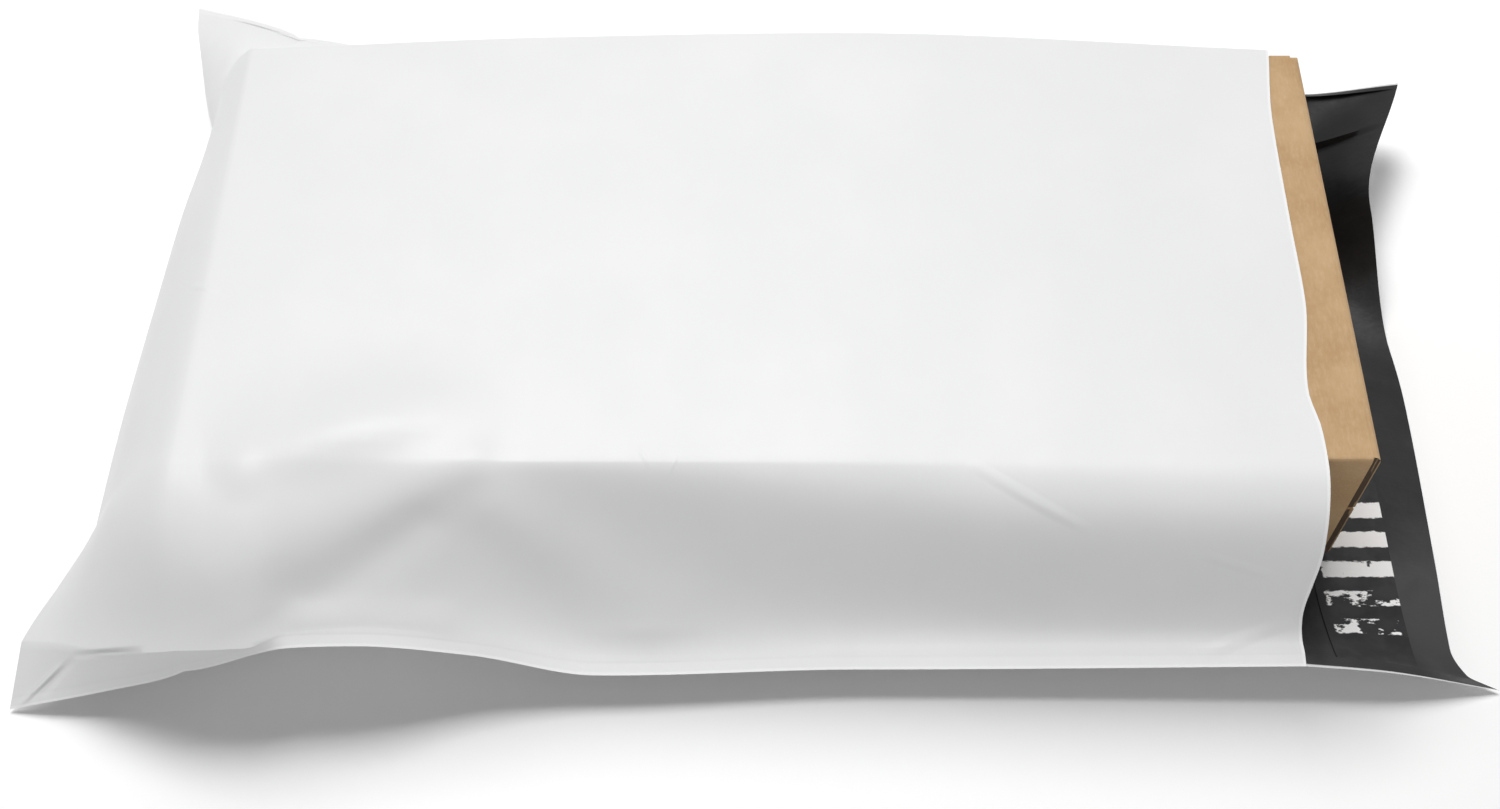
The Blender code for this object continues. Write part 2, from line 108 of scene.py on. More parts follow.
# Folds of the front panel in mm on the flat film, from the carton's closed face to the mouth and from the
# ridge to the far side: start, end, widths at both, heights at the start, the middle and the end, and how
# much wider the fold's right side is, seen from its start
FOLDS = [
    ((84, 15), (8, -1), (8, 8), (0, 4.8, 0), 1.8),
    ((74, 0), (12, -28), (6, 15), (1.8, 1.9, 2.1), 1),
    ((62, -16), (34, -36), (5, 7), (-1, -1, -1), 1),
    ((80, -12), (118, -44), (8, 15), (1.4, 1.5, 1.6), 1),
    ((34, -44), (64, -46), (6, 6), (1.2, 1.2, 1.2), 1),
    ((16, 5), (19, -11), (4, 5), (0, 0.8, 0), 1),
]

# Fine creases of the white film in mm on the flat sheet, along from the closed end and across from the
# middle: start, end, half width, height
CREASES = [
    ((230, -66), (262, -83), 2.2, 0.25),
    ((288, -89), (312, -98), 2.2, 0.18),
    ((294, -122), (318, -113), 2.6, 0.3),
    ((147, -63), (151, -69), 0.9, 0.1),
    ((157, -65), (156, -71), 0.9, 0.1),
    ((24, -14), (33, -19), 1.4, 0.16),
    ((2, -125), (13, -114), 1.5, 0.5),
    ((8, -123), (16, -113), 2.2, -0.4),
    ((15, -112), (36, -112.5), 1.8, -0.6),
    ((10, 122), (30, 120.5), 1.3, -0.9),
    ((25, 119), (42, 124), 1.3, -0.9),
]

# Mouth and lip: how far the mouth stays behind the carton's open face, how far the lip goes past the
# mouth and how much more at its two corners, how it widens near and narrows far, and how its far side lifts
MOUTH_SETBACK = 12.8 * MM
LIP_REACH = 42 * MM
LIP_NEAR_POINT = 9.7 * MM
LIP_FAR_POINT = 12.8 * MM
LIP_NEAR_SPREAD = 2.8 * MM
LIP_FAR_NARROWING = 7.5 * MM
LIP_LIFT = 18 * MM

# How the lip goes from the mouth's height to its end's height: share of the way, share of the height
LIP_SETTLE = [(0, 0), (0.35, 0.12), (1, 1)]

# How far the mouth's edge stands out of its straight line, by distance from the ridge in mm, and how far
# into the bag this is felt
MOUTH_WAVE_REACH = 14 * MM
MOUTH_WAVE = [(-58, 0), (-45, -1.2), (-36, -0.7), (-26, -0.1), (-13, -0.2), (0, 0), (9, -0.4), (21, -2.5),
              (49, 0.1), (75, -0.8), (111, -1.7), (136, 0)]

# Closing strips on the lip, and how far above the film each lies
LINER_THICKNESS = 0.08 * MM
ADHESIVE_THICKNESS = 0.05 * MM
STRIP_CLEARANCE = 0.08 * MM
ADHESIVE_LEVEL = FILM + STRIP_CLEARANCE
LINER_LEVEL = ADHESIVE_LEVEL + ADHESIVE_THICKNESS + STRIP_CLEARANCE

# Specular level of the black film and the liner, and where the painted grey reflection on the film starts
# and is full, from the carton's centre
BLACK_SHEEN = 0.24
REFLECTION_START = -46 * MM
REFLECTION_END = -78 * MM

# White bars on the liner, from the carton's centre and counted from the far one; one stretch is torn
BAR_START = 149.2 * MM
BAR_LENGTH = 21.6 * MM
BAR_WIDTH = 4.7 * MM
BAR_PITCH = 9.1 * MM
FIRST_BAR = -53.2 * MM
BAR_COUNT = 5
BAR_EDGE = 0.2 * MM
BAR_WANDER = 1.6 * MM
BARS_TORN = (2.9, 3.4)
WORN_AWAY = (0.66, 0.72)

# Colours
WHITE = (1, 1, 1)
FILM_SHADE = (0.88, 0.882, 0.888)
FILM_WHITE = (0.905, 0.905, 0.908)
DEEP_BLACK = (0.004, 0.004, 0.0045)
FILM_BLACK = (0.013, 0.013, 0.014)
PLAIN_BLACK = (0.012, 0.012, 0.013)
# Painted reflection grey for the black film's near side
REFLECTION_GREY = (0.05, 0.05, 0.052)
CUT_FILM = (0.8, 0.8, 0.8)
LINER_BLACK = (0.008, 0.008, 0.009)
LINER_GREY = (0.022, 0.022, 0.024)
MELT_DARK = (0.7, 0.64, 0.48)
MELT_LIGHT = (0.8, 0.76, 0.62)
KRAFT_DARK = (0.53, 0.335, 0.165)
KRAFT_LIGHT = (0.63, 0.425, 0.23)
FIBRE_LIGHT = (0.72, 0.54, 0.35)
# Painted shade of the end flaps' cut edges, and of their flute hollows
EDGE_SHADE = (0.42, 0.29, 0.16)
FLUTE_SHADOW = (0.06, 0.035, 0.018)
FLOOR_WHITE = (0.86, 0.86, 0.86)

# Floor: its side, how far below the object it lies, its own glow, and the distances from the middle
# over which it turns plain white
FLOOR_SIZE = 8
FLOOR_DROP = 0.5 * MM
FLOOR_GLOW = 0.05
FLOOR_TURNS_WHITE = (0.34, 0.62)

# Light, and the rays that meet a white ground
SEEN_BY = ("Is Camera Ray", "Is Glossy Ray", "Is Transmission Ray")
AMBIENT = 0.23
KEY_PLACE = (-0.15, 0.45, 1.74)
KEY_SIZE = 1.2
KEY_POWER = 23
FILL_PLACE = (0.5, -1.3, 1.15)
FILL_SIZE = 1.0
FILL_POWER = 3
REAR_PLACE = (-0.3, 1.0, 1.5)
REAR_SIZE = 0.85
REAR_POWER = 34

# Steps of the film's and the strips' grids, and the angle from which an edge stays sharp
END_STEPS = 28
BODY_STEPS = 140
STEP_GROWTH = 1.1
LIP_STEPS = 34
CREASE_ROWS = 7
NEAR_ROWS = 40
TOP_ROWS = 50
FAR_ROWS = 24
STRIP_STEPS = 24
CREASE_ANGLE = math.radians(40)

# Sockets of a Mix node that hold its two colours and their mixture, and the least length to divide by
MIX_COLOURS = (6, 7)
MIX_RESULT = 2
LEAST_LENGTH = 1e-6


# Film shape

def smooth(points, at):
    """A monotone curve through a few (place, value) points."""
    x, y = (np.array(column, float) for column in zip(*points))
    step = np.diff(x)
    slope = np.diff(y) / step
    tangent = np.zeros_like(y)
    tangent[0], tangent[-1] = slope[0], slope[-1]
    for i in range(1, len(x) - 1):
        if slope[i - 1] * slope[i] > 0:
            tangent[i] = 2 * slope[i - 1] * slope[i] / (slope[i - 1] + slope[i])
    at = np.clip(np.asarray(at, float), x[0], x[-1])
    i = np.clip(np.searchsorted(x, at, side="right") - 1, 0, len(step) - 1)
    t = (at - x[i]) / step[i]
    rise = y[i + 1] - y[i]
    start, end = tangent[i] * step[i], tangent[i + 1] * step[i]
    return y[i] + t * (start + t * (3 * rise - 2 * start - end + t * (start + end - 2 * rise)))


def guide(reach, setback, skirt, height):
    """One lengthwise guide line: its reach past the closed face, its setback at the mouth,
    and tables of (station, distance outside the side face) and (station, height)."""

    def place(station, side_face, outward):
        mouth = OPEN_FACE - setback
        body = CLOSED_FACE + np.clip(station, 0, 1) * (mouth - CLOSED_FACE)
        x = np.where(station < 0, CLOSED_FACE + station * reach, body)
        return np.stack([x, side_face + outward * smooth(skirt, station), smooth(height, station)], -1)

    return place


def guide_lines(station):
    """The five guides as points, nearest first, for an array of stations."""
    corner, skirt = NEAR_CORNER_SKIRT, NEAR_SKIRT
    near_weld = guide(
        NEAR_CORNER_REACH,
        MOUTH_SETBACK + 1.2 * MM,
        [(-1, corner), (-0.5, skirt + 6.2 * MM), (0, skirt + 4.4 * MM), (0.1, skirt + 2 * MM),
         (0.25, skirt), (0.36, skirt + 2.1 * MM), (0.6, skirt), (1, skirt)],
        [(-1, 0.5 * MM), (-0.45, 8 * MM), (0, 17 * MM), (0.1, 26 * MM), (0.15, 25 * MM),
         (0.25, 17 * MM), (0.36, 9 * MM), (0.6, 8 * MM), (1, 10 * MM)],
    )
    near_crease = guide(
        NEAR_CORNER_REACH - 4 * MM,
        MOUTH_SETBACK + 1.5 * MM,
        [(-1, corner - 14 * MM), (-0.75, skirt - 3.3 * MM), (-0.5, skirt + 0.3 * MM),
         (0, skirt + 3.2 * MM), (0.06, skirt + 3 * MM), (0.1, skirt - 1.5 * MM), (0.2, skirt - 4 * MM),
         (0.36, skirt - 3 * MM), (0.7, skirt - 5 * MM), (1, skirt - 5 * MM)],
        [(-1, 12 * MM), (-0.75, 16 * MM), (-0.5, 20 * MM), (0, 27 * MM), (0.1, 28 * MM),
         (0.15, 27 * MM), (0.25, 19.5 * MM), (0.36, 11 * MM), (0.6, 9.8 * MM), (1, 11.8 * MM)],
    )
    ridge = guide(
        END_REACH,
        MOUTH_SETBACK + 1.3 * MM,
        [(-1, 0), (-0.5, 1 * MM), (0, CLEARANCE + FILM), (1, CLEARANCE + FILM)],
        [(-1, 15.5 * MM), (-0.85, 0.46 * FILM_TOP), (-0.6, 0.72 * FILM_TOP), (-0.3, 0.91 * FILM_TOP),
         (0, FILM_TOP), (1, FILM_TOP)],
    )
    shoulder = guide(
        END_REACH - 11 * MM,
        MOUTH_SETBACK - 3.7 * MM,
        [(-1, 0), (0, 1 * MM), (0.3, SHOULDER_SKIRT - 1 * MM), (0.6, SHOULDER_SKIRT),
         (1, CLEARANCE + FILM)],
        [(-1, 15 * MM), (-0.8, 0.5 * FILM_TOP), (-0.5, 0.79 * FILM_TOP), (0, FILM_TOP),
         (0.3, FILM_TOP + 0.8 * SHOULDER_RISE), (0.55, FILM_TOP + SHOULDER_RISE),
         (1, FILM_TOP + 0.1 * SHOULDER_RISE)],
    )
    far_weld = guide(
        FAR_CORNER_REACH,
        MOUTH_SETBACK - 10.1 * MM,
        [(-1, FAR_CORNER_SKIRT), (-0.3, FAR_CORNER_SKIRT - 7 * MM), (0, FAR_CORNER_SKIRT - 12 * MM),
         (0.12, FAR_SKIRT + 12 * MM), (0.3, FAR_SKIRT + 2 * MM), (1, FAR_SKIRT)],
        [(-1, 13 * MM), (0, 12 * MM), (0.3, 8 * MM), (0.55, 6 * MM), (1, 8 * MM)],
    )
    sides = [(near_weld, NEAR_FACE, -1), (near_crease, NEAR_FACE, -1), (ridge, NEAR_FACE, -1),
             (shoulder, FAR_FACE, 1), (far_weld, FAR_FACE, 1)]
    return [line(station, face, outward) for line, face, outward in sides]


def span(first, last, fraction, power):
    """A row of points between two guides; a power above 1 drops steeply just below the first."""
    row = first + (last - first) * fraction
    drop = (1 - fraction) ** power
    row[..., 2] = last[..., 2] + (first[..., 2] - last[..., 2]) * drop
    return row


def near_row(ridge, crease, fraction, station):
    """A row of the near panel: it leaves the ridge at one slope and comes to the crease at another."""
    across = (crease - ridge) * [1, 1, 0]
    across /= np.linalg.norm(across, axis=1, keepdims=True)
    reach = np.linalg.norm(crease - ridge, axis=1)

    def handle(slopes, hold):
        slope = np.radians(smooth(slopes, station))[:, None]
        length = (reach * smooth(hold, station))[:, None]
        return length * (across * np.cos(slope) + np.array([0, 0, -1]) * np.sin(slope))

    above = ridge + handle(LEAVE_SLOPES, LEAVE_HOLD)
    below = crease - handle(ARRIVE_SLOPES, ARRIVE_HOLD)
    back = 1 - fraction
    return (ridge * back ** 3 + above * 3 * back ** 2 * fraction
            + below * 3 * back * fraction ** 2 + crease * fraction ** 3)


def steps(first, last, count):
    """Equal steps from one share to another, without the last."""
    return np.linspace(first, last, count + 1)[:-1]


def weld_line(rim, inside):
    """The inner edge of a weld, on the straight line from the rim to a row inside it."""
    share = WELD_WIDTH / np.linalg.norm(inside - rim, axis=1)[:, None]
    return rim + (inside - rim) * share


def front_panel():
    """Outer face of the front panel: an array of points, closed end to mouth by near to far."""
    ends = np.linspace(FOLD_BAND / END_REACH - 1, 0, END_STEPS)
    body = np.linspace(0, 1, BODY_STEPS + 1)[1:] ** STEP_GROWTH
    stations = np.concatenate([[-1], ends, body])
    near_weld, near_crease, ridge, shoulder, far_weld = guide_lines(stations)
    inner = weld_line(near_weld, near_crease)
    rows = [near_weld]
    rows += [span(inner, near_crease, share, 1) for share in steps(0, 1, CREASE_ROWS)]
    rows += [near_row(ridge, near_crease, share, stations) for share in steps(1, 0, NEAR_ROWS)]
    rows += [span(ridge, shoulder, share, 1) for share in steps(0, 1, TOP_ROWS)]
    rows += [span(shoulder, far_weld, share, FAR_DROP_POWER) for share in steps(0, 1, FAR_ROWS)]
    rows += [weld_line(far_weld, rows[-1]), far_weld]
    panel = np.stack(rows, axis=1)
    panel[..., 0] += np.minimum(stations, 0)[:, None] * smooth(END_BULGE, panel[:1, :, 1] / MM) * MM
    return folded(panel)


def walk(grid):
    """Distance of each point from the first of its row, along the row."""
    lengths = np.linalg.norm(np.diff(grid, axis=1), axis=2)
    return np.concatenate([np.zeros((len(grid), 1)), np.cumsum(lengths, axis=1)], axis=1)


def climb(panel):
    """Distance of each point past the ridge towards the far side, along the film."""
    walked = walk(panel)
    ridge = 1 + CREASE_ROWS + NEAR_ROWS
    return walked - walked[:, ridge:ridge + 1]


def folded(panel):
    """The panel with its folds raised, clear of the carton and flat at the welds, and its mouth waved."""
    above = climb(panel)
    flat = np.stack([panel[..., 0] - CLOSED_FACE, above], -1) / MM
    from_edge = np.minimum(above - above[:, :1], above[:, -1:] - above)
    fade = np.clip((from_edge - WELD_WIDTH) / FOLD_FADE, 0, 1)
    lift = sum(fold(flat, *shape) for shape in FOLDS) * MM * fade
    lift[:2] = 0
    raised = panel + normals(panel) * lift[..., None]
    over = (abs(raised[..., 1]) < FAR_FACE + CLEARANCE) & (raised[..., 0] > CLOSED_FACE - CLEARANCE)
    raised[..., 2] = np.where(over, np.maximum(raised[..., 2], FILM_TOP), raised[..., 2])
    mouth = raised[-1:, :, 0]
    near_mouth = np.clip(1 - (mouth - raised[..., 0]) / MOUTH_WAVE_REACH, 0, 1)
    raised[..., 0] += near_mouth ** 2 * smooth(MOUTH_WAVE, above[-1] / MM) * MM
    return raised


def fold(flat, start, end, widths, heights, right_share):
    """Height of a soft fold along a straight line on the flat film."""
    start, end = np.array(start, float), np.array(end, float)
    line = end - start
    along = np.clip((flat - start) @ line / (line @ line), 0, 1)
    away = np.linalg.norm(flat - start - along[..., None] * line, axis=-1)
    width = widths[0] + (widths[1] - widths[0]) * along
    height = smooth(list(zip((0, 0.5, 1), heights)), along)
    turned = line[1] * (flat[..., 0] - start[0]) - line[0] * (flat[..., 1] - start[1])
    aside = turned / np.linalg.norm(line)
    rightness = np.clip(aside / np.maximum(away, LEAST_LENGTH), 0, 1)
    width *= 1 + (right_share - 1) * rightness
    return height * np.exp(-(away / width) ** 2)


def normals(panel):
    """Unit normals of a grid of points, upward."""
    normal = np.cross(np.gradient(panel, axis=0), np.gradient(panel, axis=1))
    normal /= np.linalg.norm(normal, axis=-1, keepdims=True)
    return normal * np.sign(normal[..., 2:3])


def back_panel(front):
    """Outer face of the back panel: flat under the carton, rising to the rims, where it meets the front."""
    back = front.copy()
    up = normals(front)
    x, y = front[..., 0], front[..., 1]
    rim_near, rim_far, rim_end = front[:, :1, :], front[:, -1:, :], front[:1, :, :]
    foot_near = NEAR_FACE - FLOOR_MARGIN
    foot_far = FAR_FACE + FLOOR_MARGIN
    foot_end = CLOSED_FACE - FLOOR_MARGIN
    rises = [
        rim_near[..., 2] * rim_rise((y - foot_near) / (rim_near[..., 1] - foot_near)),
        rim_far[..., 2] * rim_rise((y - foot_far) / (rim_far[..., 1] - foot_far)),
        rim_end[..., 2] * rim_rise((x - foot_end) / (rim_end[..., 0] - foot_end)),
    ]
    back[..., 2] = np.minimum(np.maximum.reduce(rises), front[..., 2] - POCKET_GAP)
    for edge in (np.s_[:, 0], np.s_[:, 1], np.s_[:, -1], np.s_[:, -2], np.s_[0, :], np.s_[1, :]):
        back[edge] = front[edge] - 2 * FILM * up[edge]
    return np.maximum(back, [-np.inf, -np.inf, 0])


def rim_rise(share):
    """Share of a rim's height at a share of the way out to it."""
    return np.clip(share, 0, 1) ** RIM_RISE_POWER


def lip_panel(back):
    """The back panel past the mouth, its outer face: one row of points per step out to the lip's end."""
    mouth = back[-1]
    y = mouth[:, 1]
    near, far = NEAR_FACE - NEAR_SKIRT, FAR_FACE + FAR_SKIRT
    near_bend, far_bend = NEAR_FACE - 0.68 * NEAR_SKIRT, 0.62 * FAR_FACE
    reach = [(near, LIP_REACH + LIP_NEAR_POINT), (NEAR_FACE - 0.88 * NEAR_SKIRT, LIP_REACH + 1.8 * MM),
             (near_bend, LIP_REACH - 1 * MM), (NEAR_FACE, LIP_REACH),
             (0.26 * NEAR_FACE, LIP_REACH + 1.2 * MM), (far_bend, LIP_REACH - 3.4 * MM),
             (far, LIP_REACH + LIP_FAR_POINT)]
    level = [(near, 0.5 * MM), (near_bend, 0.3 * MM), (0, 0.5 * MM), (far_bend, LIP_LIFT),
             (far, LIP_LIFT + 2 * MM)]
    spread = [(near, -LIP_NEAR_SPREAD), (0, 0), (far, -LIP_FAR_NARROWING)]
    end = np.stack([OPEN_FACE - MOUTH_SETBACK + smooth(reach, y), y + smooth(spread, y),
                    smooth(level, y)], -1)
    clear = OPEN_FACE + 1 * MM
    by_carton = abs(y) < FAR_FACE + FLOOR_MARGIN
    rows = []
    for fraction in np.linspace(0, 1, LIP_STEPS + 1)[1:]:
        row = mouth + (end - mouth) * fraction
        past = np.clip((row[:, 0] - clear) / (end[:, 0] - clear), 0, 1)
        settle = smooth(LIP_SETTLE, np.where(by_carton, past, fraction))
        row[:, 2] = mouth[:, 2] + (end[:, 2] - mouth[:, 2]) * settle
        rows.append(row)
    return np.stack(rows)


# Pieces

def sheet_grid(name, points, flat):
    """A grid primitive whose points are set by an array of rows, with the flat sheet as its UV map."""
    rows, columns = points.shape[:2]
    bpy.ops.object.select_all(action="DESELECT")
    bpy.ops.mesh.primitive_grid_add(x_subdivisions=columns - 1, y_subdivisions=rows - 1, size=1)
    piece = bpy.context.object
    piece.name = name
    placed = points.reshape(-1, 3) + np.array(HOME)
    piece.data.vertices.foreach_set("co", placed.ravel())
    corners = np.empty(len(piece.data.loops), dtype=np.int32)
    piece.data.loops.foreach_get("vertex_index", corners)
    layer = piece.data.uv_layers.active
    layer.name = "flat_sheet"
    layer.data.foreach_set("uv", flat.reshape(-1, 2)[corners].ravel())
    piece.data.update()
    return piece


def thicken(piece, thickness, inward):
    """Give a sheet its thickness; grown inward, its new face takes the second material."""
    solidify = piece.modifiers.new("thickness", "SOLIDIFY")
    solidify.thickness = thickness
    solidify.offset = -1 if inward else 1
    solidify.material_offset = 1 if inward else 0
    bpy.ops.object.modifier_apply(modifier=solidify.name)
    bpy.ops.object.shade_smooth_by_angle(angle=CREASE_ANGLE)


def flip(piece):
    """Turn a sheet's faces over."""
    bpy.ops.object.mode_set(mode="EDIT")
    bpy.ops.mesh.select_all(action="SELECT")
    bpy.ops.mesh.flip_normals()
    bpy.ops.object.mode_set(mode="OBJECT")


def build_film(front, back, lip):
    """The film as one folded sheet: front panel from the mouth, closed end, back panel, lip."""
    sheet = np.concatenate([front[::-1], back, lip])
    closed_end, mouth = front[0, :, 0], front[-1, :, 0]
    along = np.concatenate([front[::-1, :, 0] - closed_end, closed_end - sheet[len(front):, :, 0]])
    along *= POCKET_LENGTH / (mouth - closed_end)
    across = walk(sheet)
    across = (across / across[:, -1:] - 0.5) * FLAT_WIDTH
    flat = np.stack([along, across], -1)
    film = sheet_grid("film", sheet.transpose(1, 0, 2), flat.transpose(1, 0, 2))
    flip(film)
    film.data.materials.append(white_film())
    film.data.materials.append(black_film())
    thicken(film, FILM, inward=True)
    whiten_welds(film)
    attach(film, "root")
    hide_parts("mailer_bag")


def whiten_welds(film):
    """Give the film's inner face the outer colour where its two panels are welded into one."""
    sheet = film.data.uv_layers.active.data
    for face in film.data.polygons:
        places = [sheet[corner].uv for corner in face.loop_indices]
        from_edge = max(FLAT_WIDTH / 2 - abs(place.y) for place in places)
        from_fold = max(abs(place.x) for place in places)
        in_pocket = face.center.x < HOME.x + OPEN_FACE - MOUTH_SETBACK - WELD_WIDTH
        if in_pocket and min(from_edge - WELD_WIDTH, from_fold - FOLD_BAND) < WELD_SLACK:
            face.material_index = 0


def build_strip(name, node, material, lip, level, thickness):
    """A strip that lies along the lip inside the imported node's outline."""
    low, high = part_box(node)
    inside = (lip[0, :, 1] > low.y - HOME.y) & (lip[0, :, 1] < high.y - HOME.y)
    lip = lip[:, inside]
    lines = np.linspace(low.x - HOME.x, high.x - HOME.x, STRIP_STEPS + 1)
    points = np.empty((lip.shape[1], len(lines), 3))
    points[..., 0] = lines
    for j in range(lip.shape[1]):
        for axis in (1, 2):
            points[j, :, axis] = np.interp(lines, lip[:, j, 0], lip[:, j, axis])
    points[..., 2] += level
    strip = sheet_grid(name, points, points[..., :2])
    strip.data.materials.append(material)
    thicken(strip, thickness, inward=False)
    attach(strip, "root")
    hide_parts(node)


# Materials

def arithmetic(operation, swapped=False):
    """An operator of Number that makes a Math node."""

    def apply(self, other):
        pair = (other, self) if swapped else (self, other)
        return self.nodes.math(operation, *pair)

    return apply


class Number:
    """A value in a node tree, with plain arithmetic."""

    def __init__(self, nodes, socket):
        self.nodes = nodes
        self.socket = socket

    __add__ = arithmetic("ADD")
    __radd__ = arithmetic("ADD", swapped=True)
    __sub__ = arithmetic("SUBTRACT")
    __rsub__ = arithmetic("SUBTRACT", swapped=True)
    __mul__ = arithmetic("MULTIPLY")
    __rmul__ = arithmetic("MULTIPLY", swapped=True)
    __truediv__ = arithmetic("DIVIDE")
    __rtruediv__ = arithmetic("DIVIDE", swapped=True)
    __pow__ = arithmetic("POWER")
    __lt__ = arithmetic("LESS_THAN")
    __gt__ = arithmetic("GREATER_THAN")

    def __abs__(self):
        return self.nodes.math("ABSOLUTE", self)

    def between(self, low, high):
        """0 below low, 1 above high and a soft rise between; high below low turns it round."""
        inputs = {"Value": self, "From Min": low, "From Max": high}
        node = self.nodes.node("ShaderNodeMapRange", {"interpolation_type": "SMOOTHSTEP"}, inputs)
        return Number(self.nodes, node.outputs["Result"])


class Nodes:
    """A node tree whose nodes all come from one method."""

    def __init__(self, tree):
        self.tree = tree

    def set(self, node, inputs):
        """Link or set a node's sockets."""
        for key, value in inputs.items():
            if isinstance(value, Number):
                self.tree.links.new(value.socket, node.inputs[key])
            elif isinstance(value, bpy.types.NodeSocket):
                self.tree.links.new(value, node.inputs[key])
            else:
                node.inputs[key].default_value = value

    def node(self, kind, settings=None, inputs=None):
        node = self.tree.nodes.new(kind)
        for key, value in (settings or {}).items():
            setattr(node, key, value)
        self.set(node, inputs or {})
        return node

    def math(self, operation, *values):
        node = self.node("ShaderNodeMath", {"operation": operation}, dict(enumerate(values)))
        return Number(self, node.outputs[0])

    def split(self, vector):
        """The three parts of a vector socket."""
        node = self.node("ShaderNodeSeparateXYZ", inputs={0: vector})
        return [Number(self, socket) for socket in node.outputs]

    def seen(self):
        """1 for the rays that meet a white ground and 0 for the rest."""
        light_path = self.node("ShaderNodeLightPath")
        return sum(Number(self, light_path.outputs[ray]) for ray in SEEN_BY)

    def blend(self, share, first, second):
        """A shader between two shader nodes."""
        inputs = {0: share, 1: first.outputs[0], 2: second.outputs[0]}
        return self.node("ShaderNodeMixShader", inputs=inputs)


class Paint(Nodes):
    """A material, with the patterns that the finishes are made of."""

    def __init__(self, name, colour, **constants):
        self.material = bpy.data.materials.new(name)
        self.material.use_nodes = True
        super().__init__(self.material.node_tree)
        self.shader = self.tree.nodes["Principled BSDF"]
        self.set(self.shader, {"Base Color": (*colour, 1), **constants})

    def crease(self, along, across, start, end, half_width, height):
        """A soft ridge along a straight line; places in mm."""
        run, climb = end[0] - start[0], end[1] - start[1]
        ahead, aside = along / MM - start[0], across / MM - start[1]
        share = (ahead * run + aside * climb) / (run * run + climb * climb)
        share = self.math("MINIMUM", self.math("MAXIMUM", share, 0), 1)
        away = ((ahead - share * run) ** 2 + (aside - share * climb) ** 2) ** 0.5
        return away.between(half_width, 0) * share * (1 - share) * (4 * height)

    def object_place(self):
        return self.node("ShaderNodeTexCoord").outputs["Object"]

    def flat_place(self):
        return self.node("ShaderNodeUVMap", {"uv_map": "flat_sheet"}).outputs["UV"]

    def stretched(self, vector, scale):
        node = self.node("ShaderNodeVectorMath", {"operation": "MULTIPLY"}, {0: vector, 1: scale})
        return node.outputs[0]

    def noise(self, vector, scale, detail=2.0, roughness=0.5, distortion=0.0):
        inputs = {"Vector": vector, "Scale": scale, "Detail": detail, "Roughness": roughness,
                  "Distortion": distortion}
        return Number(self, self.node("ShaderNodeTexNoise", inputs=inputs).outputs["Fac"])

    def mix(self, share, first, second):
        """A colour between two colours."""
        pair = [(*colour, 1) if isinstance(colour, tuple) else colour for colour in (first, second)]
        node = self.node("ShaderNodeMix", {"data_type": "RGBA"}, {0: share, **dict(zip(MIX_COLOURS, pair))})
        return node.outputs[MIX_RESULT]

    def finish(self, colour, roughness, height):
        """Join colour, roughness and a height in mm to the shader."""
        bump = self.node("ShaderNodeBump", inputs={"Height": height, "Distance": MM, "Strength": 1.0})
        joined = {"Base Color": colour, "Roughness": roughness, "Normal": bump.outputs["Normal"]}
        self.set(self.shader, joined)
        return self.material


def white_film():
    """The film's outer face: faint clouds, crinkles, grain and creases, whiter at welds and cut edges."""
    paint = Paint("white film", (0.9, 0.9, 0.905))
    place = paint.object_place()
    along, across, _ = paint.split(paint.flat_place())
    cloud = paint.noise(place, 26, detail=3)
    crinkle = paint.noise(paint.stretched(place, (1.6, 1, 1)), 80, detail=3, roughness=0.6)
    grain = paint.noise(paint.stretched(place, (1.5, 0.6, 1)), 700, detail=2)
    edge = FLAT_WIDTH / 2 - abs(across)
    weld = edge.between(WELD_WIDTH + 0.6 * MM, WELD_WIDTH - 0.2 * MM)
    rim = paint.math("MAXIMUM", edge.between(1 * MM, 0.5 * MM),
                     along.between(POCKET_LENGTH - 1 * MM, POCKET_LENGTH - 0.5 * MM))
    shade = paint.mix(cloud.between(0.35, 0.7), FILM_SHADE, FILM_WHITE)
    colour = paint.mix(paint.math("MAXIMUM", weld * 0.2, rim * 0.9), shade, WHITE)
    height = cloud * 0.4 + crinkle * 0.09 + grain * 0.004 - weld * 0.04
    for shape in CREASES:
        height = height + paint.crease(along, across, *shape)
    return paint.finish(colour, 0.34 + crinkle * 0.12 + grain * 0.04, height)


def black_film():
    """The film's inner face: cloudy and crinkled, pale at cut edges, with painted reflection on the near
    side.
    """
    paint = Paint("black film", PLAIN_BLACK, **{"Specular IOR Level": BLACK_SHEEN})
    place = paint.object_place()
    _, across, _ = paint.split(paint.flat_place())
    cloud = paint.noise(place, 30, detail=2, distortion=0.4)
    crinkle = paint.noise(paint.stretched(place, (1, 1.5, 1)), 110, detail=3, roughness=0.6)
    edge = FLAT_WIDTH / 2 - abs(across)
    rim = edge.between(0.9 * MM, 0.5 * MM)
    _, y, _ = paint.split(place)
    # Painted reflection: grey patches over the near side of the black film, in the clouds
    painted_reflection = y.between(HOME.y + REFLECTION_START, HOME.y + REFLECTION_END) * cloud.between(0.35, 0.62)
    shade = paint.mix(cloud.between(0.35, 0.75), DEEP_BLACK, FILM_BLACK)
    shade = paint.mix(painted_reflection, shade, REFLECTION_GREY)
    colour = paint.mix(rim, shade, CUT_FILM)
    height = cloud * 1.1 + crinkle * 0.22
    return paint.finish(colour, 0.3 + crinkle * 0.2, height)


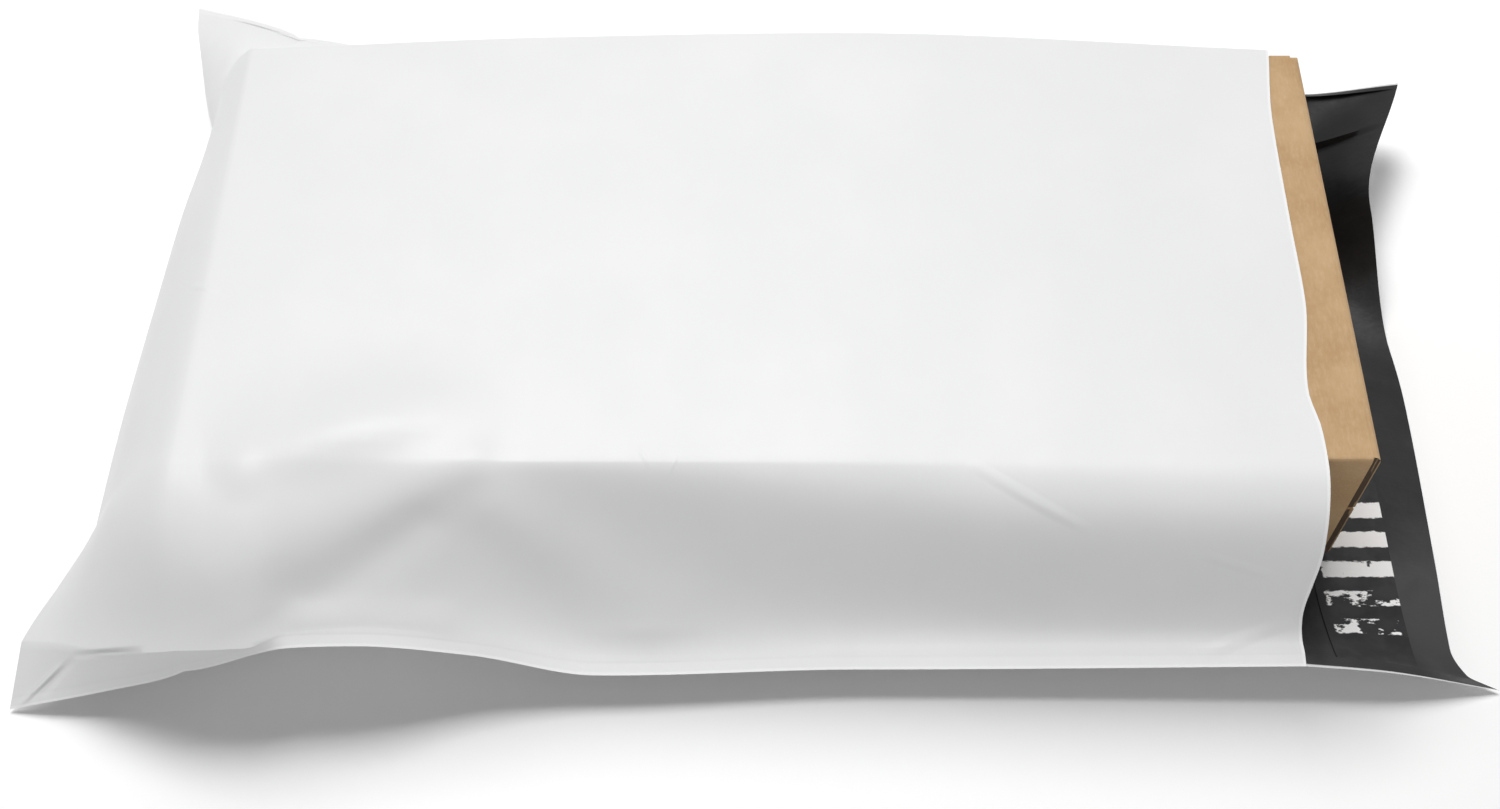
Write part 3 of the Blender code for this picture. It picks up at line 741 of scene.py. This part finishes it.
def liner_tape():
    """Crinkled black tape with a row of worn white bars."""
    paint = Paint("liner tape", PLAIN_BLACK, **{"Specular IOR Level": BLACK_SHEEN})
    place = paint.object_place()
    x, y, _ = paint.split(place)
    crinkle = paint.noise(paint.stretched(place, (1, 1.5, 1)), 120, detail=3, roughness=0.6)
    ragged = paint.noise(paint.stretched(place, (0.7, 1.4, 1)), 700, detail=3, roughness=0.65)
    worn = paint.noise(place, 160, detail=2)
    first = HOME.y + FIRST_BAR + BAR_PITCH / 2
    turn = (first - y) / BAR_PITCH
    phase = paint.math("FRACT", turn)
    wander = (ragged - 0.5) * BAR_WANDER
    across = abs(phase - 0.5) * BAR_PITCH + wander
    along = x + wander * 2
    start = HOME.x + BAR_START
    end = start + BAR_LENGTH
    started = along.between(start - BAR_EDGE, start + BAR_EDGE)
    unfinished = along.between(end + BAR_EDGE, end - BAR_EDGE)
    row = (turn > 0) * (turn < BAR_COUNT)
    bar = across.between(BAR_WIDTH / 2 + BAR_EDGE, BAR_WIDTH / 2 - BAR_EDGE) * (started * unfinished) * row
    torn = turn.between(*BARS_TORN)
    gone = (worn + torn * 0.24 + (ragged - 0.5) * 0.5).between(*WORN_AWAY)
    print_left = bar * (1 - gone)
    shade = paint.mix(worn.between(0.35, 0.7), LINER_BLACK, LINER_GREY)
    colour = paint.mix(print_left, shade, WHITE)
    roughness = 0.28 + crinkle * 0.2 + print_left * 0.2
    return paint.finish(colour, roughness, crinkle * 0.2 + print_left * 0.02)


def hot_melt():
    """Pale adhesive with long ripples along the strip."""
    paint = Paint("hot melt", (0.75, 0.7, 0.55))
    place = paint.object_place()
    ripple = paint.noise(paint.stretched(place, (3, 0.4, 1)), 300, detail=2)
    colour = paint.mix(ripple, MELT_DARK, MELT_LIGHT)
    return paint.finish(colour, 0.2 + ripple * 0.15, ripple * 0.05)


def kraft_board():
    """Kraft paper, fibres and mottle, with painted shade on the end flaps' cut edges, deepest in the
    flutes.
    """
    paint = Paint("kraft board", (0.6, 0.4, 0.22))
    place = paint.object_place()
    x, _, _ = paint.split(place)
    normal = paint.node("ShaderNodeNewGeometry").outputs["Normal"]
    _, side, _ = paint.split(normal)
    fibre = paint.noise(paint.stretched(place, (1, 0.25, 1)), 1400, detail=4, roughness=0.7)
    mottle = paint.noise(place, 60, detail=4, roughness=0.6)
    depth = OPEN_FACE - abs(x - HOME.x)
    on_side = abs(side) > 0.8
    raw = (depth < BOARD - 0.05 * MM) * on_side
    hollow = depth.between(0.25 * MM, 0.4 * MM) * depth.between(BOARD - 0.3 * MM, BOARD - 0.5 * MM)
    flute = paint.noise(paint.stretched(place, (1, 1, 0.15)), 900, detail=2)
    shade = paint.mix(mottle.between(0.3, 0.7), KRAFT_DARK, KRAFT_LIGHT)
    shade = paint.mix(fibre.between(0.4, 0.75) * 0.35, shade, FIBRE_LIGHT)
    # Painted shade: cut edges darker than the kraft, near black in the flute hollows between the liners
    cut = paint.mix(hollow * flute.between(0.25, 0.45), EDGE_SHADE, FLUTE_SHADOW)
    colour = paint.mix(raw, shade, cut)
    return paint.finish(colour, 0.82 + fibre * 0.1, fibre * 0.03 + mottle * 0.12)


# Stage

def build_floor():
    """A matt pale floor. Where it is seen it is white, with the shadow, and plain white further out."""
    bpy.ops.mesh.primitive_plane_add(size=FLOOR_SIZE, location=(0, 0, -FLOOR_DROP))
    floor = bpy.context.object
    floor.name = "floor"
    paint = Paint("floor", FLOOR_WHITE, Roughness=1.0, **{"Specular IOR Level": 0})
    glow = paint.node("ShaderNodeEmission", inputs={"Color": (*WHITE, 1), "Strength": FLOOR_GLOW})
    white = paint.node("ShaderNodeBsdfDiffuse", inputs={"Color": (*WHITE, 1)})
    both = paint.node("ShaderNodeAddShader", inputs={0: glow.outputs[0], 1: white.outputs[0]})
    x, y, _ = paint.split(paint.object_place())
    far = ((x * x + y * y) ** 0.5).between(*FLOOR_TURNS_WHITE)
    plain = paint.node("ShaderNodeEmission", inputs={"Color": (*WHITE, 1), "Strength": 1.0})
    shown = paint.blend(far, both, plain)
    surface = paint.blend(paint.seen(), paint.shader, shown)
    paint.set(paint.tree.nodes["Material Output"], {"Surface": surface.outputs[0]})
    floor.data.materials.append(paint.material)
    return floor


def build_world():
    """A white ground for the rays that see it, and a dim light from all sides for the others."""
    world = bpy.data.worlds.new("studio")
    bpy.context.scene.world = world
    world.use_nodes = True
    nodes = Nodes(world.node_tree)
    ambient = nodes.tree.nodes["Background"]
    nodes.set(ambient, {"Color": (*WHITE, 1), "Strength": AMBIENT})
    white = nodes.node("ShaderNodeBackground", inputs={"Color": (*WHITE, 1), "Strength": 1})
    surface = nodes.blend(nodes.seen(), ambient, white)
    nodes.set(nodes.tree.nodes["World Output"], {"Surface": surface.outputs[0]})


def build_lamp(name, place, size, power, floor, floor_only):
    """A square soft box that faces the object and lights either the floor or all but the floor."""
    data = bpy.data.lights.new(name, "AREA")
    data.size = size
    data.energy = power
    lamp = bpy.data.objects.new(name, data)
    lamp.location = place
    lamp.rotation_euler = Vector(place).to_track_quat("Z", "Y").to_euler()
    bpy.context.scene.collection.objects.link(lamp)
    receivers = bpy.data.collections.new(name + "_receivers")
    receivers.objects.link(floor)
    receivers.collection_objects[0].light_linking.link_state = "INCLUDE" if floor_only else "EXCLUDE"
    lamp.light_linking.receiver_collection = receivers


def build_camera():
    """A camera at the photo's angle and distance, with its framing."""
    aim = HOME + AIM_FROM_CARTON
    back = Vector((0, -math.cos(CAMERA_ELEVATION), math.sin(CAMERA_ELEVATION)))
    data = bpy.data.cameras.new("photo_camera")
    data.sensor_width = SENSOR_WIDTH
    data.lens = SENSOR_WIDTH * FOCAL_PIXELS / PHOTO_WIDTH
    camera = bpy.data.objects.new("photo_camera", data)
    camera.location = aim + back * CAMERA_DISTANCE
    camera.rotation_euler = (-back).to_track_quat("-Z", "Y").to_euler()
    bpy.context.scene.collection.objects.link(camera)
    bpy.context.scene.camera = camera


def main():
    build_camera()
    build_world()
    floor = build_floor()
    build_lamp("key", KEY_PLACE, KEY_SIZE, KEY_POWER, floor, floor_only=False)
    build_lamp("fill", FILL_PLACE, FILL_SIZE, FILL_POWER, floor, floor_only=False)
    build_lamp("rear", REAR_PLACE, REAR_SIZE, REAR_POWER, floor, floor_only=True)
    board = kraft_board()
    front = front_panel()
    back = back_panel(front)
    lip = lip_panel(back)
    build_film(front, back, lip)
    build_strip("adhesive", "adhesive_strip", hot_melt(),
                lip, ADHESIVE_LEVEL, ADHESIVE_THICKNESS)
    build_strip("liner", "release_liner", liner_tape(),
                lip, LINER_LEVEL, LINER_THICKNESS)
    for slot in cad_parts["carton"].material_slots:
        slot.material = board
    bpy.context.scene.view_settings.view_transform = "Standard"


main()
